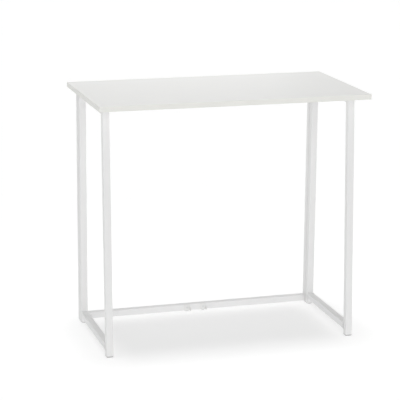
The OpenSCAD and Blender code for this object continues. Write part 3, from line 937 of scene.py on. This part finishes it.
class DESK_OT_side_frames(bpy.types.Operator):
    """Add the tubes of the side frames: bent rear tubes, mitred front legs and lower rails"""

    bl_idname = "desk.side_frames"
    bl_label = "Side Frames"

    def execute(self, context):
        tube = context.scene.desk_tube
        place = SideFrame(tube)
        rear_moves = [
            along((0, 0, place.bend.z - place.leg.z)),
            round_bend(place.bend, (1, 0, 0), tube.bend_steps),
            along((0, place.mitre.y - place.bend.y, 0)),
            fitted(place.mitred(ALONG_Y)),
        ]
        front_moves = [along(place.mitre - place.foot), fitted(place.mitred(place.up_leg))]
        rail_moves = [along(place.rail_start - place.rail_end), fitted(place.against_leg())]
        parts = (
            ("rear_tube_{}", "rear_leg_{}", Matrix.Translation(place.leg), rear_moves),
            ("front_tube_{}", "front_leg_{}", place.leaning(place.foot), front_moves),
            ("lower_rail_{}", "side_rail_{}", Matrix.Translation(place.rail_end) @ FACING_FRONT, rail_moves),
        )
        for name, node, start, moves in parts:
            make_pair(name, "{}_frame", "white_steel", node, (length_of_tube(tube, start, moves),))
        return {"FINISHED"}


class DESK_OT_welds(bpy.types.Operator):
    """Add the weld beads where tubes meet"""

    bl_idname = "desk.welds"
    bl_label = "Welds"

    def execute(self, context):
        tube = context.scene.desk_tube
        coat = weld_coat(new_finish("weld_coat"), context.scene.desk_colours)
        low, middle, high = extent("stretcher")
        back = Piece("stretcher_welds", "back_frame", "white_steel", coat=coat)
        for x in (low.x, high.x):
            back.add(weld_bead(tube, tube.bead), at(x, middle.y, middle.z), ACROSS_X)
        back.finish()
        place = SideFrame(tube)
        joints = (
            (tube.bead, place.rail_end, Matrix.Identity(4)),
            (tube.bead, place.rail_start, place.against_leg()),
            (tube.seam, place.mitre, place.mitred(ALONG_Y)),
        )
        beads = [
            (weld_bead(tube, thickness), slant, Matrix.Translation(centre), ACROSS_Y)
            for thickness, centre, slant in joints
        ]
        make_pair("frame_welds_{}", "{}_frame", "white_steel", None, *beads, coat=coat)
        return {"FINISHED"}


class DESK_OT_plates(bpy.types.Operator):
    """Add the pivot plates under and over the uprights, and the glides below them"""

    bl_idname = "desk.plates"
    bl_label = "Plates and Glides"

    def execute(self, context):
        fittings = context.scene.desk_fittings
        pin = extent("lower_pin_right")[1]
        hole = (pin.x, pin.y, fittings.pin + fittings.bore_gap)
        kinds = (
            ("head_plate_{}", "white_steel", "top_plate_{}", [hole], fittings.plate_ease),
            ("sole_plate_{}", "white_steel", "base_plate_{}", [hole], fittings.plate_ease),
            ("rear_glide_{}", "white_plastic", "base_glide_{}", [], fittings.mould_ease),
        )
        for name, slot, node, holes, rounding in kinds:
            low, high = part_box(node.format("right"))
            outline = rectangle(low, high, NOSE * (high.x - low.x) / 2, fittings.plate_corner)
            plate = slab(outline, high.z - low.z, holes, rounding)
            make_pair(name, "back_frame", slot, node, (plate, at(0, 0, low.z)))
        return {"FINISHED"}


class DESK_OT_feet(bpy.types.Operator):
    """Add the plugs and pivot bushes in the feet of the side frames"""

    bl_idname = "desk.feet"
    bl_label = "Feet"

    def execute(self, context):
        tube = context.scene.desk_tube
        fittings = context.scene.desk_fittings
        stem_radius = tube.radius / 2
        self.add_plugs(tube, fittings, stem_radius)
        self.add_bushes(tube, fittings, stem_radius)
        return {"FINISHED"}

    def add_plugs(self, tube, fittings, stem_radius):
        """Front foot plugs: a narrow sole, a head and a stem in the leaning leg."""
        place = SideFrame(tube)
        parts = (
            (0, fittings.sole, tube.width - 2 * fittings.sole_inset),
            (fittings.sole, fittings.foot_head, tube.width),
        )
        solids = []
        for bottom, top, width in parts:
            start = at(place.foot.x, place.foot.y, bottom)
            solid = swept(square(width, tube.radius), start, [along((0, 0, top - bottom))])
            ease(solid, hard_edges(solid), fittings.fine_ease, 2)
            solids.append((solid,))
        stem_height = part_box("front_foot_right")[1].z - fittings.foot_head
        stem_rise = place.up_leg * stem_height / place.up_leg.z
        outline = square(tube.width - 2 * fittings.plug_inset, stem_radius)
        stem = swept(outline, place.leaning(place.foot), [along(stem_rise)])
        make_pair("front_plug_{}", "{}_frame", "white_plastic", "front_foot_{}", *solids, (stem,))

    def add_bushes(self, tube, fittings, stem_radius):
        """Bushes in the rear legs, with a bore for the lower pin."""
        low, middle, high = extent("leg_bush_right")
        bore = (middle.x, middle.y, fittings.pin + fittings.bore_gap)
        inset = Vector((fittings.plug_inset, fittings.plug_inset, 0))
        outline = rectangle(low, high, tube.radius, steps=5)
        head = slab(outline, fittings.bush_head, [bore], fittings.fine_ease)
        outline = rectangle(low + inset, high - inset, stem_radius, steps=5)
        stem = slab(outline, high.z - low.z - fittings.bush_head, [bore], fittings.fine_ease)
        make_pair(
            "pivot_bush_{}", "{}_frame", "white_plastic", "leg_bush_{}",
            (head, at(0, 0, low.z)), (stem, at(0, 0, low.z + fittings.bush_head)),
        )


class DESK_OT_pins(bpy.types.Operator):
    """Add the pins and studs that the side frames turn on"""

    bl_idname = "desk.pins"
    bl_label = "Pins and Studs"

    def execute(self, context):
        fittings = context.scene.desk_fittings
        kinds = (("pivot_pin_{}", "back_frame", "lower_pin_{}"), ("pivot_stud_{}", "{}_frame", "top_stud_{}"))
        for name, body, node in kinds:
            low, middle, high = extent(node.format("right"))
            pin = turned(pin_profile(fittings.pin, high.z - low.z, fittings.pin_chamfer), sides=40)
            make_pair(name, body, "zinc", node, (pin, at(middle.x, middle.y, low.z)))
        return {"FINISHED"}


class DESK_OT_brackets(bpy.types.Operator):
    """Add the folded brackets under the board"""

    bl_idname = "desk.brackets"
    bl_label = "Brackets"

    def execute(self, context):
        fittings = context.scene.desk_fittings
        low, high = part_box("pivot_bracket_right")
        bolt = extent("pivot_bolt_right")[1]
        sheet = fittings.sheet
        front = bolt.y - fittings.bracket / 2
        rear = bolt.y + fittings.bracket / 2
        fold_x = high.x - sheet - fittings.fold
        fold_z = high.z - sheet - fittings.fold
        outline = rectangle((front, low.z), (rear, fold_z), NOSE * fittings.bracket / 2)
        bore = (bolt.y, bolt.z, fittings.bolt + fittings.bore_gap)
        upright = slab(outline, sheet, [bore], fittings.plate_ease)
        corners = (fittings.flange_corner, fittings.fold_corner)
        outline = rectangle(low, (fold_x, high.y), *corners, axis=0, steps=5)
        holes = [(x, y, fittings.screw + fittings.bore_gap) for x, y in bracket_screw_places(fittings)]
        flange = slab(outline, sheet, holes, fittings.plate_ease)
        outline = rectangle((high.x - sheet, front), (high.x, rear), fittings.plate_ease, steps=2)
        quarter = round_bend((fold_x, bolt.y, fold_z), (0, -1, 0), steps=8)
        bend = swept(outline, at(0, 0, fold_z), [quarter])
        make_pair(
            "board_bracket_{}", "desktop", "white_steel", "pivot_bracket_{}",
            (upright, at(high.x - sheet, 0, 0), ACROSS_X), (flange, at(0, 0, high.z - sheet)), (bend,),
        )
        return {"FINISHED"}


class DESK_OT_stops(bpy.types.Operator):
    """Add the corner stops beside the top rails"""

    bl_idname = "desk.stops"
    bl_label = "Corner Stops"

    def execute(self, context):
        fittings = context.scene.desk_fittings
        sunk = fittings.rib_sunk
        for end, (screw_x, screw_y) in zip(ENDS, stop_screw_places(fittings)):
            low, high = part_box(f"stop_right_{end}")
            wall_x = low.x + fittings.stop_wall
            base_z = high.z - fittings.stop_base
            wall = block(low, Vector((wall_x, high.y, high.z)), fittings.mould_ease)
            outline = rectangle((wall_x - fittings.stop_overlap, low.y), high, fittings.stop_corner, steps=5)
            hole = (screw_x, screw_y, fittings.screw + fittings.bore_gap)
            base = slab(outline, fittings.stop_base, [hole], fittings.fine_ease)
            solids = [(wall,), (base, at(0, 0, base_z))]
            for y in (low.y + fittings.stop_wall / 2, high.y - fittings.stop_wall / 2):
                place = at(wall_x - sunk, y - fittings.rib / 2, base_z + sunk)
                solids.append((gusset(fittings.gusset, fittings.rib), place))
            make_pair(f"corner_stop_{{}}_{end}", "desktop", "white_plastic", f"stop_{{}}_{end}", *solids)
        return {"FINISHED"}


class DESK_OT_pads(bpy.types.Operator):
    """Add the foam rest pads between the board and the top rails"""

    bl_idname = "desk.pads"
    bl_label = "Rest Pads"

    def execute(self, context):
        low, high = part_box("rest_pads")
        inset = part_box("rear_leg_right")[1].x - high.x
        width = width_of("rear_leg_right", 0) - 2 * inset
        pads = Piece("foam_pads", "desktop", "soft_pad", "rest_pads")
        for end in ENDS:
            stop_low, stop_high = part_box(f"stop_right_{end}")
            pad_low = Vector((high.x - width, stop_low.y, low.z))
            pad_high = Vector((high.x, stop_high.y, high.z))
            pads.add_both(block(pad_low, pad_high, context.scene.desk_fittings.pad_ease))
        pads.finish()
        return {"FINISHED"}


class DESK_OT_catches(bpy.types.Operator):
    """Add the two catches on the stretcher"""

    bl_idname = "desk.catches"
    bl_label = "Leg Catches"

    def execute(self, context):
        fittings = context.scene.desk_fittings
        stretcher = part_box("stretcher")[0]
        front = stretcher.y - fittings.catch_plate
        for side in SIDES:
            low, middle, high = extent(f"leg_catch_{side}")
            half_lip = Vector((fittings.lip_width / 2, 0, 0))
            lip_low = Vector((middle.x, front, low.z)) - half_lip
            lip_high = Vector((middle.x, high.y, low.z + fittings.catch_lip)) + half_lip
            finger_z = stretcher.z + fittings.finger_rise
            finger_low = Vector((high.x - fittings.catch_plate, low.y, finger_z))
            finger_high = Vector((high.x, front + fittings.finger_root, finger_z + fittings.finger_height))
            piece = Piece(f"folded_leg_catch_{side}", "back_frame", "white_plastic", f"leg_catch_{side}")
            plate = self.plate(fittings, (stretcher.z, low.x), (high.z, high.x))
            piece.add(plate, at(0, front, 0), ACROSS_Y)
            piece.add(block(lip_low, lip_high, fittings.lip_ease))
            piece.add(block(finger_low, finger_high, fittings.catch_tip)).finish()
        return {"FINISHED"}

    def plate(self, fittings, low, high):
        """Plate between two corners, each a height and an x, with a countersunk hole in its middle."""
        centre = (Vector(low) + Vector(high)) / 2
        hole = fittings.catch_screw + fittings.bore_gap
        outline = rectangle(low, high, fittings.catch_corner, steps=5)
        plate = slab(outline, fittings.catch_plate, [(*centre, hole)])
        roundings = ((False, fittings.mould_ease, 3), (True, fittings.catch_head - fittings.catch_screw, 1))
        for at_hole, rounding, segments in roundings:
            rims = []
            for edge in hard_edges(plate):
                is_round = all((vert.co.xy - centre).length < 2 * hole for vert in edge.verts)
                if on_plane(edge, 2, 0) and is_round == at_hole:
                    rims.append(edge)
            ease(plate, rims, rounding, segments)
        return plate


class DESK_OT_screws(bpy.types.Operator):
    """Add the screws of the brackets, the stops and the catches"""

    bl_idname = "desk.screws"
    bl_label = "Screws"

    def execute(self, context):
        fittings = context.scene.desk_fittings
        cross = cross_pocket(fittings.cross_length, fittings.cross_width)
        groups = (
            ("bracket_wood_screws", "bracket_screws", bracket_screw_places(fittings)),
            ("stop_wood_screws", "stop_screws", stop_screw_places(fittings)),
        )
        for name, node, places in groups:
            low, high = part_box(node)
            shank = high.z - low.z - fittings.screw_top
            profile = pan_profile(fittings.screw_head, fittings.screw_top, fittings.screw, shank)
            piece = Piece(name, "desktop", "zinc", node)
            for x, y in places:
                screw = turned(profile, cross, fittings.cross_depth)
                piece.add_both(screw, at(x, y, low.z + fittings.screw_top), UPSIDE_DOWN)
            piece.finish()
        low, middle, high = extent("catch_screws")
        length = high.y - low.y
        head = fittings.catch_head
        shank = fittings.catch_screw
        profile = [(head, 0), (shank, shank - head), (shank, shank - length), (shank / 2, -length)]
        piece = Piece("catch_countersunk_screws", "back_frame", "zinc", "catch_screws")
        for x in (low.x + head, high.x - head):
            piece.add(turned(profile, cross, fittings.cross_depth), at(x, low.y, middle.z), FACING_FRONT)
        piece.finish()
        return {"FINISHED"}


class DESK_OT_pivot_bolts(bpy.types.Operator):
    """Add the desktop's pivot bolts, their washers and their threaded inserts"""

    bl_idname = "desk.pivot_bolts"
    bl_label = "Pivot Bolts"

    def execute(self, context):
        fittings = context.scene.desk_fittings
        low, middle, high = extent("pivot_bolt_right")
        length = high.x - low.x - fittings.bolt_head
        profile = pan_profile(middle.z - low.z, fittings.bolt_head, fittings.bolt, length)
        bolt = turned(profile, hex_pocket(fittings.bolt_key), fittings.bolt_head / 2, sides=40)
        seat = at(low.x + fittings.bolt_head, middle.y, middle.z)
        make_pair("shoulder_bolt_{}", "back_frame", "zinc", "pivot_bolt_{}", (bolt, seat, FACING_INWARDS))
        bore = (0, 0, fittings.bolt + fittings.bore_gap)
        low, middle, high = extent("pivot_washers")
        washer = slab(disc(middle.z - low.z), fittings.washer, [bore], fittings.washer_ease)
        washers = Piece("nylon_washers", "back_frame", "white_plastic", "pivot_washers")
        washers.add_both(washer, at(high.x - fittings.washer, middle.y, middle.z), ACROSS_X).finish()
        post_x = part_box("post_right")[0].x
        insert_low, insert_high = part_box("rivet_nuts")
        flange = slab(disc(middle.z - insert_low.z), post_x - high.x, [bore], fittings.washer_ease)
        sleeve = slab(disc(fittings.insert), insert_high.x - post_x, [bore], fittings.insert_ease)
        inserts = Piece("threaded_inserts", "back_frame", "zinc", "rivet_nuts")
        inserts.add_both(flange, at(high.x, middle.y, middle.z), ACROSS_X)
        inserts.add_both(sleeve, at(post_x, middle.y, middle.z), ACROSS_X).finish()
        return {"FINISHED"}


def add_lamp(name, kind, power, towards, **settings):
    """Adds a lamp that shines from a direction, with its own settings, and returns it."""
    data = bpy.data.lights.new(name, kind)
    data.energy = power
    for setting, value in settings.items():
        setattr(data, setting, value)
    lamp = new_object(name, data)
    lamp.rotation_euler = Vector(towards).to_track_quat("Z", "Y").to_euler()
    return lamp


def seen_directly(finish):
    """1 for what the camera sees, also in a reflection or through glass."""
    rays = ("Is Camera Ray", "Is Glossy Ray", "Is Transmission Ray")
    camera, glossy, through = (finish.node("ShaderNodeLightPath", output=ray) for ray in rays)
    return camera | glossy | through


class DESK_OT_stage(bpy.types.Operator):
    """Add the camera, the lamps, the white studio and its floor"""

    bl_idname = "desk.stage"
    bl_label = "Stage"

    def execute(self, context):
        studio = context.scene.desk_studio
        context.scene.view_settings.view_transform = "Standard"
        self.place_camera(context.scene, studio)
        self.hang_lamps(studio)
        self.light_walls(context.scene, studio)
        self.lay_floor(studio)
        return {"FINISHED"}

    def place_camera(self, scene, studio):
        """Camera with the photograph's view."""
        camera = new_object("camera", bpy.data.cameras.new("camera"))
        camera.data.lens = studio.lens
        camera.data.sensor_width = studio.sensor
        camera.data.clip_end = studio.sight
        camera.matrix_world = (
            Matrix.Translation(studio.camera)
            @ Matrix.Rotation(-studio.yaw, 4, "Z")
            @ Matrix.Rotation(math.radians(90) - studio.pitch, 4, "X")
            @ Matrix.Rotation(studio.roll, 4, "Z")
        )
        scene.camera = camera

    def hang_lamps(self, studio):
        """Three wide lights far away, and a soft one behind the desk."""
        lamps = (
            ("overhead_light", studio.over_light, studio.over_from, studio.over_soft),
            ("front_light", studio.front_light, studio.front_from, studio.front_soft),
            ("side_light", studio.side_light, studio.side_from, studio.side_soft),
        )
        for name, share, towards, softness in lamps:
            add_lamp(name, "SUN", share * math.pi, towards, angle=softness)
        rear = add_lamp("rear_light", "AREA", studio.rear_power, studio.rear_place, size=studio.rear_size)
        rear.location = studio.rear_place
        rear.visible_camera = False

    def light_walls(self, scene, studio):
        """White studio walls, which light the desk at the ambient level."""
        scene.world = scene.world or bpy.data.worlds.new("studio")
        finish = Finish(scene.world)
        seen = seen_directly(finish)
        strength = studio.ambient * (1 - seen) + seen
        walls = finish.node("ShaderNodeBackground", inputs={"Color": WHITE, "Strength": strength})
        finish.node("ShaderNodeOutputWorld", inputs={"Surface": walls})

    def lay_floor(self, studio):
        """White floor that keeps the desk's shadow."""
        bm = bmesh.new()
        bmesh.ops.create_grid(bm, x_segments=1, y_segments=1, size=studio.floor_size / 2)
        floor = new_object("studio_floor", mesh_from(bm, "studio_floor"))
        finish = new_finish("studio_floor")
        bounce = finish.node("ShaderNodeEmission", inputs={"Color": WHITE, "Strength": studio.floor_light})
        shaded = finish.node("ShaderNodeBsdfDiffuse", inputs={"Color": (studio.shade,) * 3 + (1,)})
        level = studio.open_floor - studio.shade
        glow = finish.node("ShaderNodeEmission", inputs={"Color": WHITE, "Strength": level})
        shown = finish.node("ShaderNodeAddShader", inputs={0: shaded, 1: glow})
        mixed = finish.node("ShaderNodeMixShader", inputs={0: seen_directly(finish), 1: bounce, 2: shown})
        finish.node("ShaderNodeOutputMaterial", inputs={"Surface": mixed})
        floor.data.materials.append(finish.owner)


STEPS = (
    DESK_OT_stage,
    DESK_OT_board,
    DESK_OT_edge_bands,
    DESK_OT_back_frame,
    DESK_OT_side_frames,
    DESK_OT_welds,
    DESK_OT_plates,
    DESK_OT_feet,
    DESK_OT_pins,
    DESK_OT_brackets,
    DESK_OT_stops,
    DESK_OT_pads,
    DESK_OT_catches,
    DESK_OT_screws,
    DESK_OT_pivot_bolts,
)
GROUPS = {
    "desk_tube": DeskTubeSizes,
    "desk_fittings": DeskFittingSizes,
    "desk_colours": DeskColours,
    "desk_studio": DeskStudio,
}


class DESK_PT_panel(bpy.types.Panel):
    """Panel in the 3D view's sidebar with the desk's steps and sizes"""

    bl_label = "Folding Desk"
    bl_space_type = "VIEW_3D"
    bl_region_type = "UI"
    bl_category = "Desk"

    def draw(self, context):
        for step in STEPS:
            self.layout.operator(step.bl_idname)
        for name in GROUPS:
            group = getattr(context.scene, name)
            for size in group.bl_rna.properties.keys():
                if size not in ("rna_type", "name"):
                    self.layout.prop(group, size)


CLASSES = (*GROUPS.values(), *STEPS, DESK_PT_panel)


def register():
    for cls in CLASSES:
        bpy.utils.register_class(cls)
    for name, group in GROUPS.items():
        setattr(bpy.types.Scene, name, bpy.props.PointerProperty(type=group))


def unregister():
    for name in GROUPS:
        delattr(bpy.types.Scene, name)
    for cls in reversed(CLASSES):
        bpy.utils.unregister_class(cls)


def main():
    """Builds the desk on its frame."""
    register()
    for step in STEPS:
        group, name = step.bl_idname.split(".")
        getattr(getattr(bpy.ops, group), name)()


if __name__ == "__main__":
    main()
